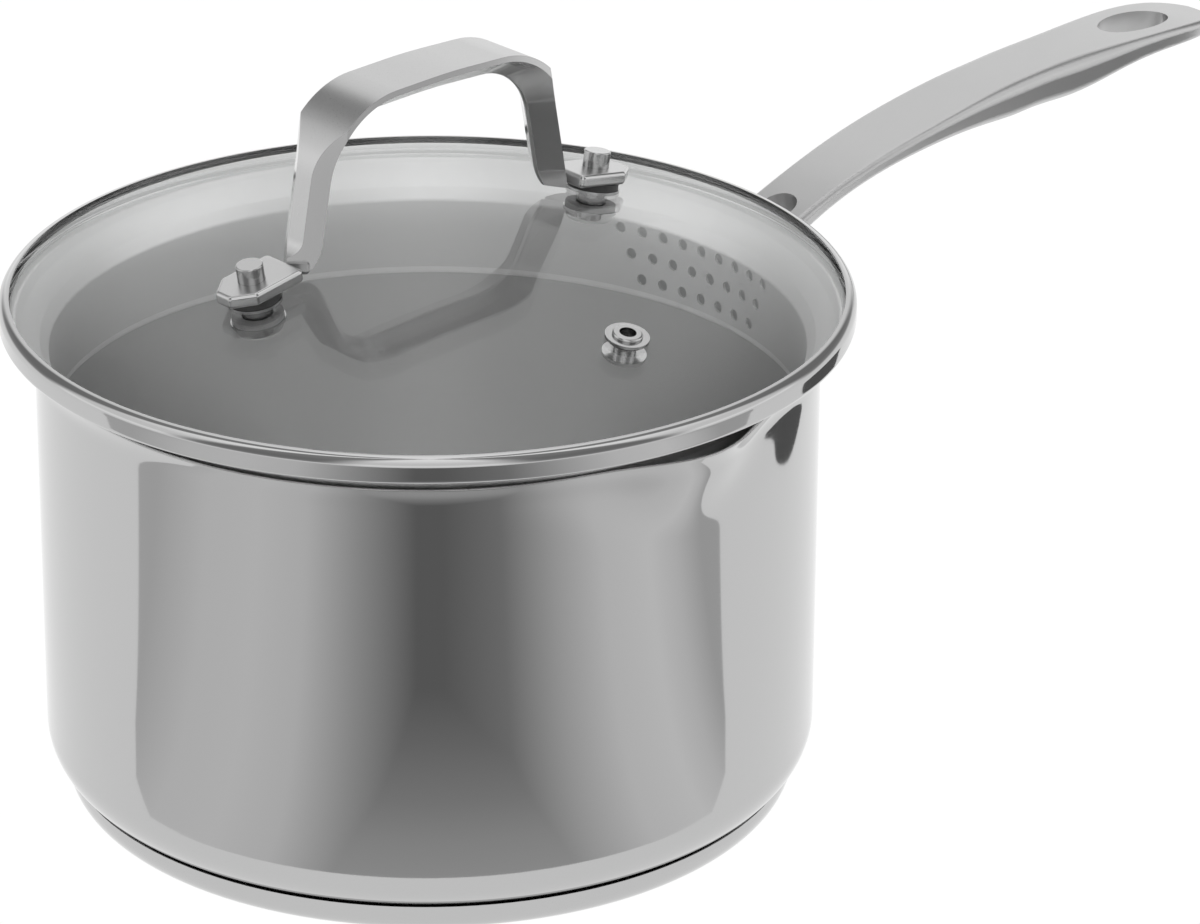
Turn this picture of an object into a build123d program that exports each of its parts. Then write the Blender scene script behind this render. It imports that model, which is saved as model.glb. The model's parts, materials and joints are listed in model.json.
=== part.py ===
from build123d import *
from math import asin, cos, exp, hypot, radians, sin, sqrt, tan
import os

# Saucepan with a strainer lid. Millimetres, +Z up. The origin is the centre of the face that the
# pan rests on. The long handle points along +X, the pouring spout along -Y.

CLEAR_CUT = 0.3          # cuts run this far past the surface they open

# ---- pan -------------------------------------------------------------------------------------
BODY_R = 91.0            # outer radius of the wall
WALL = 1.0               # sheet thickness of the shell
CORNER_R = 11.0          # outer radius of the rounded bottom corner
FLOOR_Z = 6.0            # underside of the shell's floor
FLARE_Z = 107.8          # where the lip starts to flare
LIP_Z = 113.3            # top of the lip
LIP_FLARE = 1.7          # how far the lip flares outward
SHELL_SPLIT_Z = 84.0     # the plain wall ends here and the spout region begins
JOIN_TOLERANCE = 0.005   # between the plain wall and the spout region
LIP_LEVELS = (SHELL_SPLIT_Z, 88.0, 92.0, 96.0, 100.0, 104.0, FLARE_Z, 110.5, LIP_Z)  # the upper wall is drawn here
SPOUT_ANGLE = -90.0      # direction of the spout
SPOUT_PROUD = 4.6        # how far the spout's lip stands out beyond the round lip
SPOUT_FOOT_Z = 92.0      # lowest point of the pressed spout
SPOUT_SPREAD_TOP = 13.5  # half angle of the spout at the lip, degrees
SPOUT_SPREAD_FOOT = 7.5  # half angle of the spout at its foot, degrees
SPOUT_REACH = 36         # the outline is drawn finely this far each side of the spout, degrees
FINE_STEP = 4            # degrees between its points there
COARSE_STEP = 16         # and round the rest of the wall

CAP_SHEET = 0.6          # sheet thickness of the base capsule
CAP_R = 86.6             # outer radius of the capsule
CAP_CORNER = 6.0         # radius of its bottom edge
CAP_TOP_Z = 7.5          # top edge of the capsule, just under the groove
CORE_GAP = 0.4           # space between the core's edge and the capsule's wall

# ---- long handle -----------------------------------------------------------------------------
# Stations along the handle: distance from the axis, height of the upper face, thickness, half width.
HANDLE_STATIONS = (
    (88.0, 101.6, 8.5, 11.2),
    (100.0, 107.6, 7.5, 10.3),
    (112.0, 112.9, 6.2, 9.8),
    (126.0, 117.9, 4.9, 9.6),
    (142.0, 122.3, 4.8, 10.1),
    (158.0, 125.5, 5.8, 10.7),
    (174.0, 128.1, 8.0, 11.0),
    (190.0, 129.8, 10.2, 11.2),
    (206.0, 130.7, 10.9, 11.5),
    (220.0, 130.9, 9.5, 11.8),
    (232.0, 130.9, 6.9, 12.0),
    (244.0, 130.6, 5.6, 12.0),
    (254.0, 129.8, 5.0, 10.9),
    (261.0, 128.8, 4.6, 8.2),
    (265.0, 128.0, 4.0, 4.2),
)
EYE_X = 108.5            # centre of the through eye at the root
EYE_LENGTH = 19.0
EYE_WIDTH = 9.5
HANG_X = 240.2           # centre of the hanging eye
HANG_LENGTH = 23.0
HANG_WIDTH = 12.5
PAD_X = 84.0             # the mounting pad starts inside the wall's curve and is trimmed to it
PAD_T = 3.2              # its thickness at the middle
PAD_SEAT = 0.03          # weld line between pad and wall
PAD_WIDTH = 34.0
PAD_Z = (88.0, 105.5)
PAD_CORNER = 5.0
SIDE_DRAW = 0.28         # the handle's sides draw in by this share of its thickness
UPPER_ROUND = 0.24       # radius of the upper edges, as a share of the thickness
LOWER_ROUND = 0.4        # and of the lower edges

# ---- lid -------------------------------------------------------------------------------------
DOME_R = 300.0           # radius of the glass dome's upper face
DOME_TOP_Z = 138.5       # apex of the dome
GLASS_T = 3.2
GLASS_R = 97.9
GLASS_EDGE_ROUND = 0.6
BAND_R = 99.1            # outer radius of the rim band
BAND_SHEET = 0.6
BAND_Z = (117.2, 123.6)
BAND_LIP_R = 96.5        # inner edge of the band's upper lip
BAND_FOLD_R = 97.0       # inner edge of the fold under the skirt's flange
BAND_BENDS = (2.2, 1.2)  # bend radii of the band's upper and lower roll
FLANGE_R = (95.4, 97.1)  # flat flange of the skirt under the glass edge
FLANGE_Z = 118.1         # underside of that flange
CONE_FOOT = (90.0, 112.9)
SKIRT_R = 88.3           # outer radius of the skirt
SKIRT_TOP_Z = 110.2
SKIRT_FOOT_Z = 90.8
SKIRT_SHEET = 0.6
SKIRT_BENDS = (0.8, 2.0, 1.2)  # bend radii from the flange down to the wall
HEM_R = 0.95             # radius of the rolled hem
HOLE_D = 2.8             # strainer holes
HOLE_ROWS = ((9, 108.2), (8, 102.0), (7, 95.8))  # holes and height of each row
HOLE_PITCH = 4.1         # degrees between holes of a row

# ---- lid handle and its fixings --------------------------------------------------------------
STUD_X = 51.65           # each stud's distance from the axis
STUD_D = 6.3
STUD_FIT = 0.03          # radial gap round the stud in the foot
STUD_PROUD = 3.9         # height of the flat-topped stud above the foot
STUD_HEAD_D = 11.0
STUD_HEAD_T = 2.0
STUD_TOP_ROUND = 0.3
STUD_HEAD_ROUND = 0.7
STUD_HOLE_D = 7.2        # hole in the glass
CUP_D = 12.7             # bright washer on the glass
CUP_T = 0.7
GASKET_D = 12.0
GASKET_T = 1.65
UNDER_GASKET_T = 1.2
UNDER_WASHER_T = 0.8
FOOT_LOW = CUP_T + GASKET_T  # underside of the foot, above the glass
FOOT_T = 3.2
FOOT_TOP = FOOT_LOW + FOOT_T
FOOT_ROUND = 0.9         # radius of its lower edge
FOOT_HALF = 6.4          # half width of the foot
FOOT_INNER = 10.0        # how far the foot reaches towards the leg
FOOT_TAPER = 3.8         # it starts to taper this far beyond the stud
FOOT_TIP = (8.8, 2.4)    # where the taper ends: distance beyond the stud, half width
FOOT_CORNER = 1.2
STRAP_END = 5.0          # the strap runs on over the foot up to this far from the stud
LEG_FOOT_X = 40.4        # where the outer face of a leg meets the foot
ARCH_SHOULDER = (33.8, 177.2)
ARCH_TOP_Z = 178.4
STRAP_W = 16.4
STRAP_EDGE = 1.5         # thickness at the strap's edges
STRAP_KEEL = 6.8         # thickness at its keel
LEG_CHAMFER_Y = 2.6      # the leg's outer chamfers start this far from its centre line
LEG_CHAMFER_ANGLE = 36.0
CHAMFER_REACH = 47.0     # length cut up the leg, past the shoulder's bend
ARCH_BENDS = (6.0, 22.0, 160.0, 22.0, 6.0)
KEEL_ROUND = 2.2

# ---- steam vent ------------------------------------------------------------------------------
VENT_R = 67.0            # distance of the vent from the axis
VENT_FLANGE_D = 10.2
VENT_FLANGE_T = 0.7
VENT_COLLAR_D = 7.0
VENT_COLLAR_T = 1.5
VENT_COLLAR_ROUND = 0.5
VENT_TUBE_D = 5.2
VENT_BORE_D = 3.9
VENT_GASKET_D = 9.2
VENT_GASKET_T = 0.5
VENT_RING_T = 0.8
VENT_HOLE_D = 5.8

DOME_CENTRE_Z = DOME_TOP_Z - DOME_R


def dome_z(radius):
    """Height of the glass dome's upper face at a distance from the axis."""
    return DOME_CENTRE_Z + sqrt(DOME_R**2 - radius**2)


def dome_plane(x, y, height=0.0):
    """Plane tangent to the dome above (x, y), lifted along its normal by height."""
    radius = hypot(x, y)
    normal = Vector(x / DOME_R, y / DOME_R, sqrt(DOME_R**2 - radius**2) / DOME_R)
    plane = Plane(origin=(x, y, dome_z(radius)), x_dir=(normal.Z, 0, -normal.X), z_dir=normal)
    return plane.offset(height)


def underside_seat(diameter):
    """Depth below the upper face, along the normal, where a flat ring clears the glass's hollow underside."""
    return GLASS_T + (diameter / 2) ** 2 / (2 * (DOME_R - GLASS_T)) + 0.01


def save(part, name):
    """Label a finished piece and write it as parts/NAME.step."""
    part.label = name
    export_step(part, f"parts/{name}.step")


def smooth_step(value):
    """Rise smoothly from 0 to 1 while value goes from 0 to 1."""
    value = min(max(value, 0.0), 1.0)
    return value * value * (3 - 2 * value)


def lip_radius(angle, z):
    """Outer radius of the pan in a direction, in degrees, and at a height."""
    flare = LIP_FLARE * max(0.0, (z - FLARE_Z) / (LIP_Z - FLARE_Z)) ** 2
    rise = (z - SPOUT_FOOT_Z) / (LIP_Z - SPOUT_FOOT_Z)
    spread = SPOUT_SPREAD_FOOT + (SPOUT_SPREAD_TOP - SPOUT_SPREAD_FOOT) * smooth_step(rise)
    away = ((angle - SPOUT_ANGLE + 180) % 360 - 180) / spread
    bulge = SPOUT_PROUD * smooth_step(rise) * (1 - away**2) * exp(-(away**2))
    return BODY_R + flare + bulge


def wall_outline(z, inset=0.0):
    """Closed curve round the pan at one height, moved inward by inset."""
    points = []
    near_spout = range(-SPOUT_REACH, SPOUT_REACH, FINE_STEP)
    round_wall = range(SPOUT_REACH, 360 - SPOUT_REACH, COARSE_STEP)
    for from_spout in (*near_spout, *round_wall):
        angle = SPOUT_ANGLE + from_spout
        radius = lip_radius(angle, z) - inset
        points.append((radius * cos(radians(angle)), radius * sin(radians(angle))))
    return Spline(points, periodic=True)


def make_pan_body():
    with BuildPart() as upper:
        for z in LIP_LEVELS:
            with BuildSketch(Plane.XY.offset(z)):
                with BuildLine():
                    wall_outline(z)
                make_face()
        loft()
        for z in (*LIP_LEVELS[:-1], LIP_Z + CLEAR_CUT):
            with BuildSketch(Plane.XY.offset(z)):
                with BuildLine():
                    wall_outline(z, WALL)
                make_face()
        loft(mode=Mode.SUBTRACT)
    corner = CORNER_R - WALL
    with BuildPart() as lower:
        with BuildSketch(Plane.XZ):
            with BuildLine():
                Line((0, FLOOR_Z), (BODY_R - CORNER_R, FLOOR_Z))
                RadiusArc((BODY_R - CORNER_R, FLOOR_Z), (BODY_R, FLOOR_Z + CORNER_R), -CORNER_R)
                Line((BODY_R, FLOOR_Z + CORNER_R), (BODY_R, SHELL_SPLIT_Z))
                Line((BODY_R, SHELL_SPLIT_Z), (BODY_R - WALL, SHELL_SPLIT_Z))
                Line((BODY_R - WALL, SHELL_SPLIT_Z), (BODY_R - WALL, FLOOR_Z + CORNER_R))
                RadiusArc((BODY_R - WALL, FLOOR_Z + CORNER_R), (BODY_R - CORNER_R, FLOOR_Z + WALL), corner)
                Line((BODY_R - CORNER_R, FLOOR_Z + WALL), (0, FLOOR_Z + WALL))
                Line((0, FLOOR_Z + WALL), (0, FLOOR_Z))
            make_face()
        revolve(axis=Axis.Z)
    # The two rings meet along splines and circles that differ by a micron, so they are joined with a tolerance.
    save(lower.part.fuse(upper.part, tol=JOIN_TOLERANCE), "pan_body")


def make_base():
    rim_z = CAP_TOP_Z
    with BuildPart() as base_cap:
        with BuildSketch(Plane.XZ):
            with BuildLine():
                Line((0, 0), (CAP_R - CAP_CORNER, 0))
                RadiusArc((CAP_R - CAP_CORNER, 0), (CAP_R, CAP_CORNER), -CAP_CORNER)
                Line((CAP_R, CAP_CORNER), (CAP_R, rim_z))
                Line((CAP_R, rim_z), (CAP_R - CAP_SHEET, rim_z))
                Line((CAP_R - CAP_SHEET, rim_z), (CAP_R - CAP_SHEET, CAP_CORNER))
                RadiusArc(
                    (CAP_R - CAP_SHEET, CAP_CORNER),
                    (CAP_R - CAP_CORNER, CAP_SHEET),
                    CAP_CORNER - CAP_SHEET,
                )
                Line((CAP_R - CAP_CORNER, CAP_SHEET), (0, CAP_SHEET))
                Line((0, CAP_SHEET), (0, 0))
            make_face()
        revolve(axis=Axis.Z)
    save(base_cap.part, "base_cap")

    core_r = CAP_R - CAP_CORNER
    with BuildPart() as base_core:
        with BuildSketch(Plane.XY.offset(CAP_SHEET)):
            Circle(core_r - CORE_GAP)
        extrude(amount=FLOOR_Z - CAP_SHEET)
    save(base_core.part, "base_core")


def handle_section(x, top_z, thickness, half_width):
    """Cross-section of the long handle: crisp upper edges, sides that draw in, rounder lower edges."""
    with BuildSketch(Plane.YZ.offset(x)) as section:
        low_z = top_z - thickness
        low_half = half_width - SIDE_DRAW * thickness
        Polygon((-half_width, top_z), (-low_half, low_z), (low_half, low_z), (half_width, top_z), align=None)
        fillet(section.vertices().group_by(Axis.Y)[-1], radius=UPPER_ROUND * thickness)
        fillet(section.vertices().group_by(Axis.Y)[0], radius=LOWER_ROUND * thickness)
    return section.sketch


def make_pan_handle():
    sections = [handle_section(*station) for station in HANDLE_STATIONS]
    with BuildPart() as pan_handle:
        loft(sections)
        with BuildSketch(Plane.YZ.offset(PAD_X)):
            with Locations((0, sum(PAD_Z) / 2)):
                RectangleRounded(PAD_WIDTH, PAD_Z[1] - PAD_Z[0], PAD_CORNER)
        extrude(amount=BODY_R + PAD_T - PAD_X)
        with BuildSketch():
            Circle(BODY_R + PAD_SEAT)
        extrude(amount=2 * LIP_Z, mode=Mode.SUBTRACT)
        with BuildSketch():
            with Locations((EYE_X, 0)):
                SlotOverall(EYE_LENGTH, EYE_WIDTH)
            with Locations((HANG_X, 0)):
                Ellipse(HANG_LENGTH / 2, HANG_WIDTH / 2)
        extrude(amount=2 * LIP_Z, mode=Mode.SUBTRACT)
    save(pan_handle.part, "pan_handle")


def make_rim_band():
    low, high = BAND_Z
    middle_r = BAND_R - BAND_SHEET / 2
    with BuildPart() as rim_band:
        with BuildSketch(Plane.XZ):
            with BuildLine():
                FilletPolyline(
                    (BAND_LIP_R, high - BAND_SHEET / 2),
                    (middle_r, high - BAND_SHEET / 2),
                    (middle_r, low + BAND_SHEET / 2),
                    (BAND_FOLD_R, low + BAND_SHEET / 2),
                    radius=BAND_BENDS,
                )
            trace(line_width=BAND_SHEET)
        revolve(axis=Axis.Z)
    save(rim_band.part, "rim_band")


def make_strainer_skirt():
    flange_in, flange_out = FLANGE_R
    centre_r = SKIRT_R - SKIRT_SHEET / 2
    with BuildPart() as strainer_skirt:
        with BuildSketch(Plane.XZ):
            with BuildLine():
                FilletPolyline(
                    (flange_out, FLANGE_Z + SKIRT_SHEET / 2),
                    (flange_in, FLANGE_Z + SKIRT_SHEET / 2),
                    CONE_FOOT,
                    (centre_r, SKIRT_TOP_Z),
                    (centre_r, SKIRT_FOOT_Z + HEM_R),
                    radius=SKIRT_BENDS,
                )
            trace(line_width=SKIRT_SHEET)
            with Locations((centre_r + HEM_R - SKIRT_SHEET / 2, SKIRT_FOOT_Z + HEM_R)):
                Circle(HEM_R)
        revolve(axis=Axis.Z)
        for count, z in HOLE_ROWS:
            for index in range(count):
                angle = radians((index - (count - 1) / 2) * HOLE_PITCH)
                outward = Vector(cos(angle), sin(angle), 0)
                with BuildSketch(Plane(origin=outward * SKIRT_R + Vector(0, 0, z), z_dir=outward)):
                    Circle(HOLE_D / 2)
                extrude(amount=HOLE_D, both=True, mode=Mode.SUBTRACT)
    save(strainer_skirt.part, "strainer_skirt")


def make_lid_glass():
    under_r = DOME_R - GLASS_T
    edge_low = DOME_CENTRE_Z + sqrt(under_r**2 - GLASS_R**2)
    with BuildPart() as lid_glass:
        with BuildSketch(Plane.XZ):
            with BuildLine():
                RadiusArc((0, DOME_TOP_Z), (GLASS_R, dome_z(GLASS_R)), DOME_R)
                Line((GLASS_R, dome_z(GLASS_R)), (GLASS_R, edge_low))
                RadiusArc((GLASS_R, edge_low), (0, DOME_TOP_Z - GLASS_T), -under_r)
                Line((0, DOME_TOP_Z - GLASS_T), (0, DOME_TOP_Z))
            make_face()
        revolve(axis=Axis.Z)
        rim = lid_glass.edges().filter_by(GeomType.CIRCLE).group_by(SortBy.LENGTH)[-1]
        fillet(rim, radius=GLASS_EDGE_ROUND)
        for x, y, diameter in (
            (STUD_X, 0, STUD_HOLE_D),
            (-STUD_X, 0, STUD_HOLE_D),
            (0, -VENT_R, VENT_HOLE_D),
        ):
            with BuildSketch(dome_plane(x, y)):
                Circle(diameter / 2)
            extrude(amount=2 * GLASS_T, both=True, mode=Mode.SUBTRACT)
    save(lid_glass.part, "lid_glass")


def arch_line():
    """Outer line of the lid handle: foot, leg, crown, leg, foot. Also gives the right leg's foot point."""
    tilt = asin(STUD_X / DOME_R)
    top_at_stud = dome_z(STUD_X) + FOOT_TOP / cos(tilt)
    leg_foot = (LEG_FOOT_X, top_at_stud + (STUD_X - LEG_FOOT_X) * tan(tilt))
    start = (STUD_X - STRAP_END, top_at_stud + STRAP_END * tan(tilt))
    right = (start, leg_foot, ARCH_SHOULDER)
    left = [(-x, z) for x, z in reversed(right)]
    with BuildLine(Plane.XZ) as arch:
        FilletPolyline(*right, (0, ARCH_TOP_Z), *left, radius=ARCH_BENDS)
    return arch.line, leg_foot


def make_foot(stand):
    """Flat foot of the lid handle with a rounded lower edge, standing on a plane."""
    with BuildPart() as foot:
        with BuildSketch(stand):
            near = [(-FOOT_INNER, FOOT_HALF), (FOOT_TAPER, FOOT_HALF), FOOT_TIP]
            far = [(x, -y) for x, y in reversed(near)]
            outline = Polygon(*near, *far, align=None)
            fillet(outline.vertices(), radius=FOOT_CORNER)
        extrude(amount=FOOT_T)
        fillet(foot.faces().sort_by(Axis.Z)[0].edges(), radius=FOOT_ROUND)
    return foot.part


def space_below(stand):
    """Everything near a foot that is below its underside, which the legs must not reach into."""
    with BuildPart() as below:
        with BuildSketch(stand):
            Circle(STRAP_W)
        extrude(amount=-STRAP_W)
    return below.part


def make_lid_handle():
    arch, leg_foot = arch_line()
    leg = Vector(leg_foot[0] - ARCH_SHOULDER[0], 0, leg_foot[1] - ARCH_SHOULDER[1]).normalized()
    stand = dome_plane(STUD_X, 0, FOOT_LOW)
    foot = make_foot(stand)
    below = space_below(stand)
    with BuildPart() as lid_handle:
        with BuildSketch(Plane(origin=arch @ 0, x_dir=(0, 1, 0), z_dir=arch % 0)) as section:
            half = STRAP_W / 2
            Polygon((-half, 0), (half, 0), (half, STRAP_EDGE), (0, STRAP_KEEL), (-half, STRAP_EDGE), align=None)
            fillet(section.vertices().group_by(Axis.Y)[-1], radius=KEEL_ROUND)
        sweep(path=arch)
        for side in (1, -1):
            outward = Vector(-side * leg.Z, 0, leg.X)
            for edge_side in (1, -1):
                angle = radians(LEG_CHAMFER_ANGLE)
                cut = Plane(
                    origin=(side * leg_foot[0], edge_side * LEG_CHAMFER_Y, leg_foot[1]),
                    x_dir=(side * leg.X, 0, leg.Z),
                    z_dir=outward * cos(angle) + Vector(0, edge_side, 0) * sin(angle),
                )
                with BuildSketch(cut):
                    Rectangle(2 * CHAMFER_REACH, 2 * STRAP_W)
                extrude(amount=STRAP_W, mode=Mode.SUBTRACT)
        for turn, stud_x in ((0, STUD_X), (180, -STUD_X)):
            add(foot.rotate(Axis.Z, turn))
            add(below.rotate(Axis.Z, turn), mode=Mode.SUBTRACT)
            with BuildSketch(dome_plane(stud_x, 0)):
                Circle(STUD_D / 2 + STUD_FIT)
            extrude(amount=2 * FOOT_TOP, mode=Mode.SUBTRACT)
    save(lid_handle.part, "lid_handle")


def ring_on(plane, outer_d, inner_d, thickness, name):
    """Flat ring standing on a plane, written as one node."""
    with BuildPart() as ring:
        with BuildSketch(plane):
            Circle(outer_d / 2)
            Circle(inner_d / 2, mode=Mode.SUBTRACT)
        extrude(amount=thickness)
    save(ring.part, name)


def make_handle_fixings():
    under_top = -underside_seat(GASKET_D)
    under_low = under_top - UNDER_GASKET_T - UNDER_WASHER_T
    for x, side in ((STUD_X, "right"), (-STUD_X, "left")):
        ring_on(dome_plane(x, 0), CUP_D, STUD_HOLE_D, CUP_T, f"cup_washer_{side}")
        ring_on(dome_plane(x, 0, CUP_T), GASKET_D, STUD_HOLE_D, GASKET_T, f"foot_gasket_{side}")
        ring_on(dome_plane(x, 0, under_top - UNDER_GASKET_T), GASKET_D, STUD_HOLE_D, UNDER_GASKET_T,
                f"under_gasket_{side}")
        ring_on(dome_plane(x, 0, under_low), CUP_D, STUD_HOLE_D, UNDER_WASHER_T, f"under_washer_{side}")
        with BuildPart() as stud:
            with BuildSketch(dome_plane(x, 0, under_low)):
                Circle(STUD_D / 2)
            extrude(amount=FOOT_TOP + STUD_PROUD - under_low)
            fillet(stud.faces().sort_by(Axis.Z)[-1].edges(), radius=STUD_TOP_ROUND)
            with BuildSketch(dome_plane(x, 0, under_low - STUD_HEAD_T)):
                Circle(STUD_HEAD_D / 2)
            extrude(amount=STUD_HEAD_T)
            fillet(stud.faces().sort_by(Axis.Z)[0].edges(), radius=STUD_HEAD_ROUND)
        save(stud.part, f"handle_stud_{side}")


def make_vent():
    under = -underside_seat(VENT_FLANGE_D) - VENT_RING_T
    with BuildPart() as vent_grommet:
        with BuildSketch(dome_plane(0, -VENT_R, VENT_GASKET_T)):
            Circle(VENT_FLANGE_D / 2)
        extrude(amount=VENT_FLANGE_T)
        with BuildSketch(dome_plane(0, -VENT_R, VENT_GASKET_T)):
            Circle(VENT_COLLAR_D / 2)
        extrude(amount=VENT_COLLAR_T)
        fillet(vent_grommet.faces().sort_by(Axis.Z)[-1].edges(), radius=VENT_COLLAR_ROUND)
        with BuildSketch(dome_plane(0, -VENT_R, under)):
            Circle(VENT_TUBE_D / 2)
        extrude(amount=VENT_GASKET_T - under)
        with BuildSketch(dome_plane(0, -VENT_R)):
            Circle(VENT_BORE_D / 2)
        extrude(amount=VENT_TUBE_D * 2, both=True, mode=Mode.SUBTRACT)
    save(vent_grommet.part, "vent_grommet")
    ring_on(dome_plane(0, -VENT_R), VENT_GASKET_D, VENT_TUBE_D, VENT_GASKET_T, "vent_gasket")
    ring_on(dome_plane(0, -VENT_R, under), VENT_FLANGE_D, VENT_TUBE_D, VENT_RING_T, "vent_ring")


os.makedirs("parts", exist_ok=True)
make_pan_body()
make_base()
make_pan_handle()
make_rim_band()
make_strainer_skirt()
make_lid_glass()
make_lid_handle()
make_handle_fixings()
make_vent()
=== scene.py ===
import json
from math import cos, exp, radians, sin

import bpy
from mathutils import Matrix, Vector


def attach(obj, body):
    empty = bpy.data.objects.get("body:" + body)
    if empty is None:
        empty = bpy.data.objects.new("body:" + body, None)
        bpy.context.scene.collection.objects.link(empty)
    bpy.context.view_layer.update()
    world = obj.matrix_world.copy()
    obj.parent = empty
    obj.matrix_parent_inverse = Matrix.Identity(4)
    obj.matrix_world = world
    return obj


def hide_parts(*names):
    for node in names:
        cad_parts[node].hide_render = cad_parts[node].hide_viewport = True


# Looks of a stainless steel saucepan with a domed glass strainer lid. Metres, in the frame of the packed
# model: the origin is the centre of the face the pan rests on, +X runs along the long handle, -Y to the spout.

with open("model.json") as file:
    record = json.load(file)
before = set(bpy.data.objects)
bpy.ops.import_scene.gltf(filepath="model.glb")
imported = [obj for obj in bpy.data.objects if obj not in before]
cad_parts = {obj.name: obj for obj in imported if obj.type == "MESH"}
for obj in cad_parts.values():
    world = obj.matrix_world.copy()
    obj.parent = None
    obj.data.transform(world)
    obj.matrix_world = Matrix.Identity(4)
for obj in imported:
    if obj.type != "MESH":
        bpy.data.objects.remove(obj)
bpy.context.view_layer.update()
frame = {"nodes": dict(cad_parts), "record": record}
nodes = frame["nodes"]

# ---- view ------------------------------------------------------------------------------------------
VIEW_AZIMUTH = -41.2
VIEW_ELEVATION = 24.04
VIEW_DISTANCE = 1.3765                   # from the point on the pan's axis that the view is level with
VIEW_HEIGHT = 0.0786                     # height of that point
VIEW_ASIDE = 0.040                       # the camera aims this far to the right of that point
VIEW_ROLL = 0.39
LENS = 176.3
SENSOR = 36.0
CLIP_END = 50.0


def view_axes(azimuth, elevation):
    """Right and back directions of a camera that looks at the axis from this azimuth and elevation."""
    a, e = radians(azimuth), radians(elevation)
    right = Vector((cos(a), sin(a), 0.0))
    back = Vector((sin(a) * cos(e), -cos(a) * cos(e), sin(e)))
    return right, back


def make_camera():
    right, back = view_axes(VIEW_AZIMUTH, VIEW_ELEVATION)
    middle = Vector((0.0, 0.0, VIEW_HEIGHT))
    place = middle + back * VIEW_DISTANCE
    back = (place - middle - right * VIEW_ASIDE).normalized()
    right = Vector((0.0, 0.0, 1.0)).cross(back).normalized()
    up = back.cross(right)
    roll = radians(VIEW_ROLL)
    rolled_right = right * cos(roll) + up * sin(roll)
    rolled_up = up * cos(roll) - right * sin(roll)
    turn = Matrix((rolled_right, rolled_up, back)).transposed()
    data = bpy.data.cameras.new("camera")
    data.lens = LENS
    data.sensor_width = SENSOR
    data.clip_end = CLIP_END
    camera = bpy.data.objects.new("camera", data)
    bpy.context.scene.collection.objects.link(camera)
    camera.matrix_world = Matrix.Translation(place) @ turn.to_4x4()
    bpy.context.scene.camera = camera


# ---- node helpers ----------------------------------------------------------------------------------
NOISE_LOW = 0.3                          # noise values mostly lie between these two
NOISE_HIGH = 0.7
RING_PITCH = 2600.0                      # how fine the spun grain is across its lines, per metre
RING_STRETCH = 18.0                      # and round the axis, per turn
RING_DETAIL = 3.0
RING_ROUGHNESS = 0.6


def new_material(name):
    """Empty node material and its tree."""
    material = bpy.data.materials.new(name)
    material.use_nodes = True
    tree = material.node_tree
    tree.nodes.clear()
    return material, tree


def add_node(tree, kind, inputs=None, **settings):
    """Add a shader node, set its properties and its input values or links."""
    node = tree.nodes.new(kind)
    for key, value in settings.items():
        setattr(node, key, value)
    for key, value in (inputs or {}).items():
        if isinstance(value, bpy.types.NodeSocket):
            tree.links.new(value, node.inputs[key])
        else:
            node.inputs[key].default_value = value
    return node


def finish_material(tree, shader):
    add_node(tree, "ShaderNodeOutputMaterial", {"Surface": shader})


def math_node(tree, operation, first, second=0.0):
    return add_node(tree, "ShaderNodeMath", {0: first, 1: second}, operation=operation).outputs[0]


def mix_node(tree, factor, first, second):
    return add_node(tree, "ShaderNodeMix", {"Factor": factor, "A": first, "B": second}).outputs["Result"]


def ramp_node(tree, factor, stops):
    """Colour ramp of (position, grey) stops."""
    ramp = add_node(tree, "ShaderNodeValToRGB", {"Fac": factor})
    elements = ramp.color_ramp.elements
    while len(elements) < len(stops):
        elements.new(0.5)
    for element, (position, grey) in zip(elements, stops):
        element.position = position
        element.color = (grey, grey, grey, 1.0)
    return ramp.outputs["Color"]


def map_range(tree, value, low, high, to_low, to_high, smooth=False):
    node = add_node(
        tree, "ShaderNodeMapRange",
        {"Value": value, "From Min": low, "From Max": high, "To Min": to_low, "To Max": to_high},
        interpolation_type="SMOOTHSTEP" if smooth else "LINEAR",
    )
    return node.outputs["Result"]


def vary(tree, noise, low, high):
    """A value that wanders with a noise from low to high."""
    return map_range(tree, noise, NOISE_LOW, NOISE_HIGH, low, high)


def noise_tone(tree, noise, low, high):
    """A grey that wanders with a noise from low to high."""
    return ramp_node(tree, noise, [(NOISE_LOW, low), (NOISE_HIGH, high)])


def place_axes(tree):
    """Position in the model's frame, split, and the distance from the pan's axis."""
    coordinates = add_node(tree, "ShaderNodeTexCoord").outputs["Object"]
    split = add_node(tree, "ShaderNodeSeparateXYZ", {0: coordinates})
    square = math_node(tree, "ADD",
                       math_node(tree, "MULTIPLY", split.outputs[0], split.outputs[0]),
                       math_node(tree, "MULTIPLY", split.outputs[1], split.outputs[1]))
    return split, math_node(tree, "SQRT", square)


def ring_grain(tree):
    """Noise drawn out round the pan's axis: what a spinning brush leaves on a wall, a floor or a dome."""
    split, radius = place_axes(tree)
    angle = math_node(tree, "ARCTAN2", split.outputs[1], split.outputs[0])
    along = math_node(tree, "MULTIPLY", math_node(tree, "COSINE", angle), RING_STRETCH)
    aside = math_node(tree, "MULTIPLY", math_node(tree, "SINE", angle), RING_STRETCH)
    across = math_node(tree, "MULTIPLY", math_node(tree, "ADD", radius, split.outputs[2]), RING_PITCH)
    point = add_node(tree, "ShaderNodeCombineXYZ", {0: along, 1: aside, 2: across}).outputs[0]
    noise = add_node(
        tree, "ShaderNodeTexNoise",
        {"Vector": point, "Scale": 1.0, "Detail": RING_DETAIL, "Roughness": RING_ROUGHNESS},
    )
    return noise.outputs["Fac"]


def grain_noise(tree, scale, detail=2.0):
    """Even noise, scale per metre."""
    coordinates = add_node(tree, "ShaderNodeTexCoord").outputs["Object"]
    noise = add_node(tree, "ShaderNodeTexNoise", {"Vector": coordinates, "Scale": scale, "Detail": detail})
    return noise.outputs["Fac"]


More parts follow.
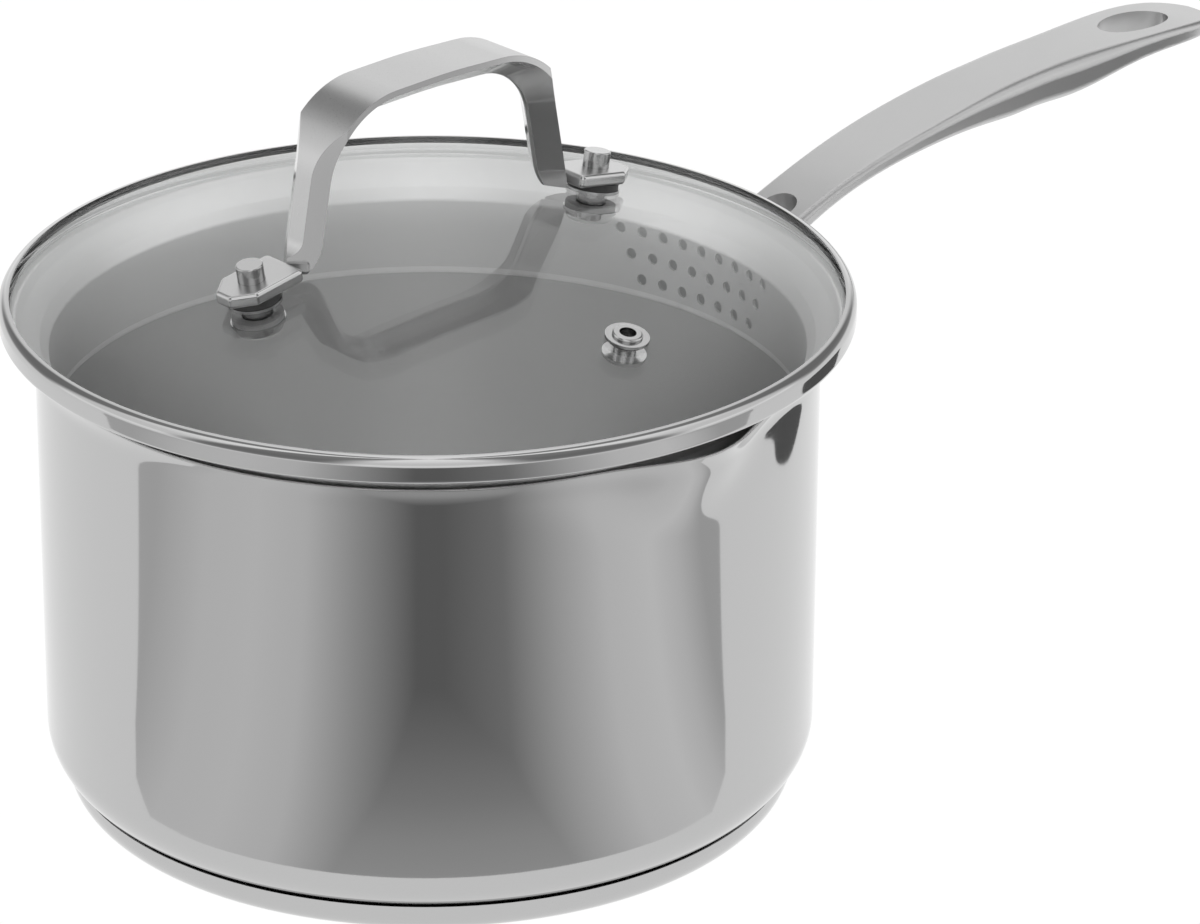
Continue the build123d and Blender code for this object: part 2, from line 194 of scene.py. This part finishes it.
# ---- steel -----------------------------------------------------------------------------------------
STEEL = 0.50                             # greys of the steels
SATIN = 0.55
# Painted light: the brushed skirt gets a lighter grey than the polished steel.
BRUSHED_LIT_TONE = 0.78
# Painted light: the pan's inside gets a lighter grey than its outside.
PAN_INNER_LIT_TONE = 0.68
# Painted highlight: the skirt's rolled hem is made nearly white.
HEM_HIGHLIGHT_TONE = 0.98
HEM_TOP = 0.0928                         # the skirt's rolled hem ends at this height
HEM_BLEND = 0.0002
POLISH = (0.045, 0.075)                  # roughness ranges
HAZE = (0.0, 0.02)
INNER_BRUSH = (0.36, 0.5)
SKIRT_BRUSH = (0.42, 0.56)
CAST_SATIN = (0.30, 0.38)
CAST_CLOUD = (0.0, 0.03)
STRAP_SATIN = (0.27, 0.34)
STRAP_POLISH = 0.09
TURNED = (0.12, 0.22)
CORE = (0.4, 0.55)
BRUSH_STRETCH = 0.6                      # anisotropy of brushed steel
ACROSS_GRAIN = 0.25                      # a quarter turn: highlights stretch across the grain
BEVEL_FACING = (0.24, 0.32)              # polish sets in where the strap faces sideways by this much
DOWN_SHARE = 0.5                         # weight of facing up or down when telling the inside from the outside
FINE_TOOTH = 5200.0                      # noise scales, per metre
TURNED_TOOTH = 2500.0
CORE_TOOTH = 900.0
CLOUD_SCALE = 60.0
HAZE_SCALE = 35.0
BROAD_DETAIL = 3.0
TOOTH_DEPTH = 0.0001
CORE_DEPTH = 0.0002


def grey(tone):
    return (tone, tone, tone, 1.0)


def steel_shader(tree, roughness, normal, colour=grey(STEEL), anisotropy=0.0):
    return add_node(tree, "ShaderNodeBsdfPrincipled", {
        "Base Color": colour,
        "Metallic": 1.0,
        "Roughness": roughness,
        "Anisotropic": anisotropy,
        "Normal": normal,
    })


def round_axis(tree, shader):
    """Stretch highlights across a grain that runs round the pan's axis."""
    around = add_node(tree, "ShaderNodeTangent", direction_type="RADIAL", axis="Z")
    tree.links.new(around.outputs[0], shader.inputs["Tangent"])
    shader.inputs["Anisotropic Rotation"].default_value = ACROSS_GRAIN


def bump(tree, height, strength, distance=TOOTH_DEPTH):
    inputs = {"Height": height, "Strength": strength, "Distance": distance}
    return add_node(tree, "ShaderNodeBump", inputs).outputs["Normal"]


def polished_steel():
    """Mirror polish with the faint rings and haze that the polishing wheel leaves."""
    material, tree = new_material("polished_steel")
    grain = ring_grain(tree)
    haze = grain_noise(tree, HAZE_SCALE, BROAD_DETAIL)
    roughness = math_node(tree, "ADD", vary(tree, grain, *POLISH), vary(tree, haze, *HAZE))
    shader = steel_shader(tree, roughness, bump(tree, grain, 0.02))
    finish_material(tree, shader.outputs[0])
    return material


def inner_mask(tree):
    """1 where the pan's wall faces the axis or its floor faces up, else 0."""
    split, radius = place_axes(tree)
    normal = add_node(tree, "ShaderNodeNewGeometry").outputs["Normal"]
    facing = add_node(tree, "ShaderNodeSeparateXYZ", {0: normal})
    along = math_node(tree, "ADD",
                      math_node(tree, "MULTIPLY", facing.outputs[0], split.outputs[0]),
                      math_node(tree, "MULTIPLY", facing.outputs[1], split.outputs[1]))
    outward = math_node(tree, "DIVIDE", along, radius)
    side = math_node(tree, "SUBTRACT", outward, math_node(tree, "MULTIPLY", facing.outputs[2], DOWN_SHARE))
    return math_node(tree, "LESS_THAN", side, 0.0)


def pan_steel():
    """Polished outside and brushed round the axis inside; the inside is given a lighter grey than the outside,
    painted light from above.
    """
    material, tree = new_material("pan_steel")
    inside = inner_mask(tree)
    grain = ring_grain(tree)
    roughness = mix_node(tree, inside, vary(tree, grain, *POLISH), vary(tree, grain, *INNER_BRUSH))
    strength = map_range(tree, inside, 0.0, 1.0, 0.01, 0.06)
    # Painted light: where the pan faces the axis or up, it is given a lighter grey.
    tone = ramp_node(tree, inside, [(0.0, STEEL), (1.0, PAN_INNER_LIT_TONE)])
    stretch = map_range(tree, inside, 0.0, 1.0, 0.0, BRUSH_STRETCH)
    shader = steel_shader(tree, roughness, bump(tree, grain, strength), tone, stretch)
    round_axis(tree, shader)
    finish_material(tree, shader.outputs[0])
    return material


def brushed_steel():
    """Spun sheet with a visible grain round the axis, its grey lighter than the polished steel as painted light,
    and a painted highlight on the hem at its foot, whose steel is made nearly white.
    """
    material, tree = new_material("brushed_steel")
    grain = ring_grain(tree)
    split, _ = place_axes(tree)
    # Painted highlight: below HEM_TOP the hem's steel is made nearly white.
    hem = map_range(tree, split.outputs[2], HEM_TOP, HEM_TOP - HEM_BLEND, 0.0, 1.0)
    # Painted light: the skirt's grey is lighter than the polished steel.
    tone = ramp_node(tree, hem, [(0.0, BRUSHED_LIT_TONE), (1.0, HEM_HIGHLIGHT_TONE)])
    shader = steel_shader(tree, vary(tree, grain, *SKIRT_BRUSH), bump(tree, grain, 0.06), tone, BRUSH_STRETCH)
    round_axis(tree, shader)
    finish_material(tree, shader.outputs[0])
    return material


def satin_steel():
    """Bead-blasted casting: even, soft sheen with a very fine tooth."""
    material, tree = new_material("satin_steel")
    tooth = grain_noise(tree, FINE_TOOTH)
    cloud = grain_noise(tree, CLOUD_SCALE, BROAD_DETAIL)
    roughness = math_node(tree, "ADD", vary(tree, tooth, *CAST_SATIN), vary(tree, cloud, *CAST_CLOUD))
    shader = steel_shader(tree, roughness, bump(tree, tooth, 0.12), grey(SATIN))
    finish_material(tree, shader.outputs[0])
    return material


def handle_steel():
    """Satin on the outer face of the lid handle's strap, mirror polish on the bevels along its edges."""
    material, tree = new_material("handle_steel")
    normal = add_node(tree, "ShaderNodeTexCoord").outputs["Normal"]
    facing = add_node(tree, "ShaderNodeSeparateXYZ", {0: normal})
    sideways = math_node(tree, "ABSOLUTE", facing.outputs[1])
    bevel = map_range(tree, sideways, *BEVEL_FACING, 0.0, 1.0)
    tooth = grain_noise(tree, FINE_TOOTH)
    roughness = mix_node(tree, bevel, vary(tree, tooth, *STRAP_SATIN), STRAP_POLISH)
    strength = map_range(tree, bevel, 0.0, 1.0, 0.1, 0.01)
    shader = steel_shader(tree, roughness, bump(tree, tooth, strength), grey(SATIN))
    finish_material(tree, shader.outputs[0])
    return material


def bright_steel():
    """Turned and tumbled small parts."""
    material, tree = new_material("bright_steel")
    tooth = grain_noise(tree, TURNED_TOOTH)
    shader = steel_shader(tree, vary(tree, tooth, *TURNED), bump(tree, tooth, 0.1))
    finish_material(tree, shader.outputs[0])
    return material


def core_aluminium():
    """Sawn plate, hidden in the base."""
    material, tree = new_material("core_aluminium")
    tooth = grain_noise(tree, CORE_TOOTH, BROAD_DETAIL)
    shader = steel_shader(tree, vary(tree, tooth, *CORE), bump(tree, tooth, 0.3, CORE_DEPTH))
    finish_material(tree, shader.outputs[0])
    return material


# ---- glass and silicone ----------------------------------------------------------------------------
GLASS_FILM = (0.95, 0.97, 0.96, 1.0)
GLASS_IOR = 1.5
GLASS_ROUGHNESS = (0.005, 0.02)
GLASS_WAVE = 14.0
GLASS_WAVE_DEPTH = 0.001
GLASS_BACK = 0.03                        # share of light that the inner face mirrors
SILICONE_ROUGHNESS = (0.45, 0.6)
SILICONE_TOOTH = 3000.0


def clear_glass():
    """Clear toughened glass, too thin to bend the view: a mirror film that follows Fresnel, else see-through."""
    material, tree = new_material("clear_glass")
    wave = grain_noise(tree, GLASS_WAVE, 1.0)
    ripple = bump(tree, wave, 0.02, GLASS_WAVE_DEPTH)
    mirror = add_node(tree, "ShaderNodeFresnel", {"IOR": GLASS_IOR, "Normal": ripple}).outputs[0]
    behind = add_node(tree, "ShaderNodeNewGeometry").outputs["Backfacing"]
    shader = add_node(tree, "ShaderNodeBsdfPrincipled", {
        "Base Color": GLASS_FILM,
        "Metallic": 1.0,
        "Roughness": vary(tree, wave, *GLASS_ROUGHNESS),
        "Alpha": map_range(tree, behind, 0.0, 1.0, mirror, GLASS_BACK),
        "Normal": ripple,
    })
    finish_material(tree, shader.outputs[0])
    return material


def silicone(name, low, high):
    """Moulded seal with a fine matt tooth, its grey between low and high."""
    material, tree = new_material(name)
    tooth = grain_noise(tree, SILICONE_TOOTH)
    shader = add_node(tree, "ShaderNodeBsdfPrincipled", {
        "Base Color": noise_tone(tree, tooth, low, high),
        "Roughness": vary(tree, tooth, *SILICONE_ROUGHNESS),
        "Normal": bump(tree, tooth, 0.1),
    })
    finish_material(tree, shader.outputs[0])
    return material


SLOT_MATERIALS = {
    "polished_steel": polished_steel(),
    "satin_steel": satin_steel(),
    "brushed_steel": brushed_steel(),
    "bright_steel": bright_steel(),
    "core_aluminium": core_aluminium(),
    "clear_glass": clear_glass(),
    "dark_silicone": silicone("dark_silicone", 0.03, 0.055),
}
PAN_STEEL = pan_steel()
PALE_SILICONE = silicone("pale_silicone", 0.24, 0.30)
OWN_MATERIALS = {
    "pan_body": PAN_STEEL,
    "lid_handle": handle_steel(),
    "under_gasket_left": PALE_SILICONE,
    "under_gasket_right": PALE_SILICONE,
}


def dress_nodes():
    """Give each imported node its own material, or else the one of its slot."""
    for part in frame["record"]["subparts"]:
        node = nodes[part["node"]]
        material = OWN_MATERIALS.get(part["node"], SLOT_MATERIALS[part["material_slot"]])
        node.data.materials.clear()
        node.data.materials.append(material)


# ---- studio ----------------------------------------------------------------------------------------
# Tall light and dark panels stand round the pan: the polished parts show them as stripes.
PANELS = 4.0
PANEL_TURN = 4.45                        # a light panel faces the camera and another stands behind the pan
PANEL_DARK = 0.35
PANEL_LIGHT = 1.35
PANEL_EDGE = 0.5                         # how soft the panels' upright edges are
PANEL_FOOT = (0.02, 0.2)                 # the panels fade in over this rise of the view above level
SKY_STOPS = ((0.5, 1.0), (0.6, 0.92), (0.68, 0.72), (0.8, 0.72), (1.0, 1.0))  # from straight down to straight up

FLOOR_HALF = 6.0
FLOOR_Z = -0.0005
FLOOR_SPECKLE = 400.0
FLOOR_TONES = (0.99, 1.0)
FLOOR_GLOW = 1.015
CARD_Z = 0.0005

# The polished wall looks down at a dark card that lies in front of the pan, seen only in reflections. The card is
# cut out round the pan, and is darkest straight in front and towards its far edge.
CARD_FRONT = 0.050                       # the card begins this far in front of the axis
CARD_CUT = 0.119                         # radius of its cut-out
CARD_CUT_ANGLE = 58                      # the cut-out ends this far to either side of straight in front, degrees
CARD_CUT_STEP = 2
CARD_JOIN = (0.121, 0.0535)              # its edge runs on through these two points
CARD_SHOULDER = (0.15, CARD_FRONT)
CARD_FAR = 2.5
CARD_SPREAD = 1.4                        # its tones run over this angle to either side, radians
CARD_TONES = ((0.04, 0.62), (0.14, 0.80), (0.23, 0.83), (0.31, 0.76), (0.39, 0.46), (0.48, 0.17), (0.52, 0.17),
              (0.61, 0.27), (0.69, 0.56), (0.77, 0.82), (0.85, 0.90), (0.90, 0.78), (0.95, 0.57))
CARD_EDGE_TONES = ((0.121, 0.48), (0.14, 0.42), (0.16, 0.33), (0.19, 0.24), (0.22, 0.17))  # by radius
CARD_RAMP_R = 0.25

# A second, small dark card lies beside the long handle and shades its near side.
SIDE_CARD = (0.37, -0.10)
SIDE_CARD_HALF = (0.12, 0.07)
SIDE_CARD_STEP = 10                      # degrees between the points of its oval
SIDE_CARD_SPECKLE = 90.0
SIDE_CARD_TONES = (0.12, 0.132)

CARD_HIDDEN_FROM = ("camera", "diffuse", "transmission", "volume_scatter", "shadow")


def panel_strength(tree, direction):
    """Brightness of the panels in a direction, fading to even light towards the ground."""
    turn = math_node(tree, "ARCTAN2", direction.outputs[1], direction.outputs[0])
    wave = math_node(tree, "SINE", math_node(tree, "ADD", math_node(tree, "MULTIPLY", turn, PANELS), PANEL_TURN))
    panels = map_range(tree, wave, -PANEL_EDGE, PANEL_EDGE, PANEL_DARK, PANEL_LIGHT, smooth=True)
    upright = map_range(tree, direction.outputs[2], *PANEL_FOOT, 0.0, 1.0, smooth=True)
    return mix_node(tree, upright, 1.0, panels)


def make_world():
    world = bpy.data.worlds.new("studio")
    bpy.context.scene.world = world
    world.use_nodes = True
    tree = world.node_tree
    tree.nodes.clear()
    coordinates = add_node(tree, "ShaderNodeTexCoord").outputs["Generated"]
    direction = add_node(tree, "ShaderNodeSeparateXYZ", {0: coordinates})
    sky = ramp_node(tree, map_range(tree, direction.outputs[2], -1.0, 1.0, 0.0, 1.0), SKY_STOPS)
    inputs = {"Color": sky, "Strength": panel_strength(tree, direction)}
    background = add_node(tree, "ShaderNodeBackground", inputs)
    add_node(tree, "ShaderNodeOutputWorld", {"Surface": background.outputs[0]})


def stage_sheet(name, points, height):
    """Flat sheet of the stage, and the tree of its still empty material."""
    mesh = bpy.data.meshes.new(name)
    mesh.from_pydata([(x, y, height) for x, y in points], [], [range(len(points))])
    sheet = bpy.data.objects.new(name, mesh)
    bpy.context.scene.collection.objects.link(sheet)
    material, tree = new_material(name)
    mesh.materials.append(material)
    return sheet, tree


def glow(tree, tone, strength=1.0):
    shader = add_node(tree, "ShaderNodeEmission", {"Color": tone, "Strength": strength})
    finish_material(tree, shader.outputs[0])


def show_in_reflections_only(card):
    for ray in CARD_HIDDEN_FROM:
        setattr(card, f"visible_{ray}", False)


def make_floor():
    """White light table: the pan stands on it and its walls look down at it."""
    half = FLOOR_HALF
    _, tree = stage_sheet("floor", [(-half, -half), (half, -half), (half, half), (-half, half)], FLOOR_Z)
    speckle = grain_noise(tree, FLOOR_SPECKLE)
    glow(tree, noise_tone(tree, speckle, *FLOOR_TONES), FLOOR_GLOW)


def card_outline():
    """Edge of the card: x to the camera's right, y towards the camera."""
    angles = [radians(a) for a in range(-CARD_CUT_ANGLE, CARD_CUT_ANGLE + 1, CARD_CUT_STEP)]
    cut = [(CARD_CUT * sin(a), CARD_CUT * cos(a)) for a in angles]
    right = [CARD_JOIN, CARD_SHOULDER, (CARD_FAR, CARD_FRONT), (CARD_FAR, CARD_FAR)]
    left = [(-x, y) for x, y in reversed(right)]
    return [*left, *cut, *right]


def make_card():
    card, tree = stage_sheet("dark_card", card_outline()[::-1], CARD_Z)
    card.matrix_world = Matrix.Rotation(radians(VIEW_AZIMUTH), 4, "Z") @ Matrix.Scale(-1, 4, (0, 1, 0))
    show_in_reflections_only(card)
    split, radius = place_axes(tree)
    angle = math_node(tree, "ARCTAN2", split.outputs[0], split.outputs[1])
    across = ramp_node(tree, map_range(tree, angle, -CARD_SPREAD, CARD_SPREAD, 0.0, 1.0), CARD_TONES)
    near = ramp_node(tree, map_range(tree, radius, 0.0, CARD_RAMP_R, 0.0, 1.0),
                     [(r / CARD_RAMP_R, tone) for r, tone in CARD_EDGE_TONES])
    glow(tree, math_node(tree, "MAXIMUM", across, near))


def make_side_card():
    turns = [radians(a) for a in range(0, 360, SIDE_CARD_STEP)]
    (x, y), (half_x, half_y) = SIDE_CARD, SIDE_CARD_HALF
    outline = [(x + half_x * cos(t), y + half_y * sin(t)) for t in turns]
    card, tree = stage_sheet("side_card", outline, CARD_Z)
    show_in_reflections_only(card)
    speckle = grain_noise(tree, SIDE_CARD_SPECKLE)
    glow(tree, noise_tone(tree, speckle, *SIDE_CARD_TONES))


# ---- turned meshes ---------------------------------------------------------------------------------
TURN_STEPS = 480                         # points round the axis


def turned_points(profile, radius_of):
    """A profile's points turned round the axis, ring by ring; radius_of gives each point's radius."""
    points = []
    for across, z in profile:
        for step in range(TURN_STEPS):
            angle = 360.0 * step / TURN_STEPS
            radius = radius_of(angle, across, z)
            points.append((radius * cos(radians(angle)), radius * sin(radians(angle)), z))
    return points


def ring_faces(first, second):
    """Quads between two rings, given by their numbers."""
    faces = []
    for step in range(TURN_STEPS):
        onward = (step + 1) % TURN_STEPS
        start, end = first * TURN_STEPS, second * TURN_STEPS
        faces.append((start + step, start + onward, end + onward, end + step))
    return faces


def smooth_piece(name, points, faces, material):
    mesh = bpy.data.meshes.new(name)
    mesh.from_pydata(points, [], faces)
    mesh.polygons.foreach_set("use_smooth", [True] * len(mesh.polygons))
    mesh.materials.append(material)
    piece = bpy.data.objects.new(name, mesh)
    bpy.context.scene.collection.objects.link(piece)
    return piece


# ---- pan body --------------------------------------------------------------------------------------
# The spun shell is drawn again from its own dimensions, so that its polish reflects without facets.
BODY_R = 0.091
WALL = 0.001
CORNER_R = 0.011
SHELL_LOW = 0.006                        # underside of the shell's floor
FLARE_Z = 0.1078
LIP_Z = 0.1133
LIP_FLARE = 0.0017
SPOUT_PROUD = 0.0046
SPOUT_FOOT_Z = 0.092
SPOUT_SPREAD = (7.5, 13.5)               # half angle of the spout at its foot and at the lip, degrees
SPOUT_ANGLE = -90.0
EDGE_ROUND = 0.0004                      # radius of the lip's edges
CORNER_STEPS = 12
WALL_STEPS = 90
FLOOR_RINGS = 6


def smooth_step(value):
    """Rise smoothly from 0 to 1 while value goes from 0 to 1."""
    value = min(max(value, 0.0), 1.0)
    return value * value * (3 - 2 * value)


def lip_radius(angle, z):
    """Outer radius of the pan in a direction, in degrees, and at a height."""
    flare = LIP_FLARE * max(0.0, (z - FLARE_Z) / (LIP_Z - FLARE_Z)) ** 2
    rise = (z - SPOUT_FOOT_Z) / (LIP_Z - SPOUT_FOOT_Z)
    spread = SPOUT_SPREAD[0] + (SPOUT_SPREAD[1] - SPOUT_SPREAD[0]) * smooth_step(rise)
    away = ((angle - SPOUT_ANGLE + 180) % 360 - 180) / spread
    return BODY_R + flare + SPOUT_PROUD * smooth_step(rise) * (1 - away**2) * exp(-(away**2))


def shell_radius(angle, inset, z):
    return lip_radius(angle, z) - inset


def shell_profile():
    """Distance inward from the outer wall, and height, from the middle of the underside round to the inside."""
    turns = [radians(90 * i / CORNER_STEPS) for i in range(CORNER_STEPS + 1)]
    corner_z = SHELL_LOW + CORNER_R
    inner_r = CORNER_R - WALL
    outer = [(CORNER_R * (1 - sin(t)), corner_z - CORNER_R * cos(t)) for t in turns]
    rise = LIP_Z - EDGE_ROUND - corner_z
    wall = [corner_z + rise * i / WALL_STEPS for i in range(1, WALL_STEPS + 1)]
    outer += [(0.0, z) for z in wall]
    edge = [(EDGE_ROUND * (1 - cos(t)), LIP_Z - EDGE_ROUND * (1 - sin(t))) for t in turns[2::2]]
    edge += [(WALL - inset, z) for inset, z in reversed(edge[:-1])]
    inner = [(WALL, z) for z in reversed(wall)]
    inner += [(CORNER_R - inner_r * sin(t), corner_z - inner_r * cos(t)) for t in reversed(turns)]
    shares = [i / FLOOR_RINGS for i in range(1, FLOOR_RINGS)]
    under = [(BODY_R * (1 - share), SHELL_LOW) for share in shares]
    floor = [(BODY_R * share, SHELL_LOW + WALL) for share in shares]
    return under + outer + edge + inner + floor


def make_shell():
    profile = shell_profile()
    points = turned_points(profile, shell_radius)
    faces = []
    for row in range(len(profile) - 1):
        faces += ring_faces(row, row + 1)
    under_middle, floor_middle = len(points), len(points) + 1
    points += [(0.0, 0.0, SHELL_LOW), (0.0, 0.0, SHELL_LOW + WALL)]
    last = (len(profile) - 1) * TURN_STEPS
    for step in range(TURN_STEPS):
        onward = (step + 1) % TURN_STEPS
        faces.append((under_middle, onward, step))
        faces.append((floor_middle, last + step, last + onward))
    shell = smooth_piece("pan_shell", points, faces, PAN_STEEL)
    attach(shell, "pan")
    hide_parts("pan_body")


# ---- rim band --------------------------------------------------------------------------------------
# The rolled band is drawn again from its own dimensions too.
BAND_SHEET = 0.0006
BAND_LIP_R = 0.0965
BAND_FOLD_R = 0.0970
BAND_MIDDLE_R = 0.0988
BAND_Z = (0.1175, 0.1233)                # middle of the sheet at the fold and at the lip
BAND_BENDS = (0.0012, 0.0022)            # bend radii at the fold and at the lip
BAND_STEPS = 10
CREASE = 40.0                            # edges sharper than this stay sharp, degrees


def band_radius(angle, radius, z):
    return radius


def band_side(offset):
    """One face of the band's sheet, from the upper lip over the roll to the fold."""
    low_bend, high_bend = BAND_BENDS
    turns = [radians(90 * i / BAND_STEPS) for i in range(BAND_STEPS + 1)]
    high = [(BAND_MIDDLE_R - high_bend + (high_bend + offset) * sin(t),
             BAND_Z[1] - high_bend + (high_bend + offset) * cos(t)) for t in turns]
    low = [(BAND_MIDDLE_R - low_bend + (low_bend + offset) * cos(t),
            BAND_Z[0] + low_bend - (low_bend + offset) * sin(t)) for t in turns]
    return [(BAND_LIP_R, BAND_Z[1] + offset), *high, *low, (BAND_FOLD_R, BAND_Z[0] - offset)]


def make_band():
    profile = band_side(BAND_SHEET / 2) + band_side(-BAND_SHEET / 2)[::-1]
    faces = []
    for row in range(len(profile)):
        faces += ring_faces((row + 1) % len(profile), row)
    band = smooth_piece("band_roll", turned_points(profile, band_radius), faces, SLOT_MATERIALS["polished_steel"])
    band.data.set_sharp_from_angle(angle=radians(CREASE))
    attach(band, "lid_rim")
    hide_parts("rim_band")


make_camera()
dress_nodes()
make_world()
make_floor()
make_card()
make_side_card()
make_shell()
make_band()
bpy.context.scene.view_settings.view_transform = "Standard"
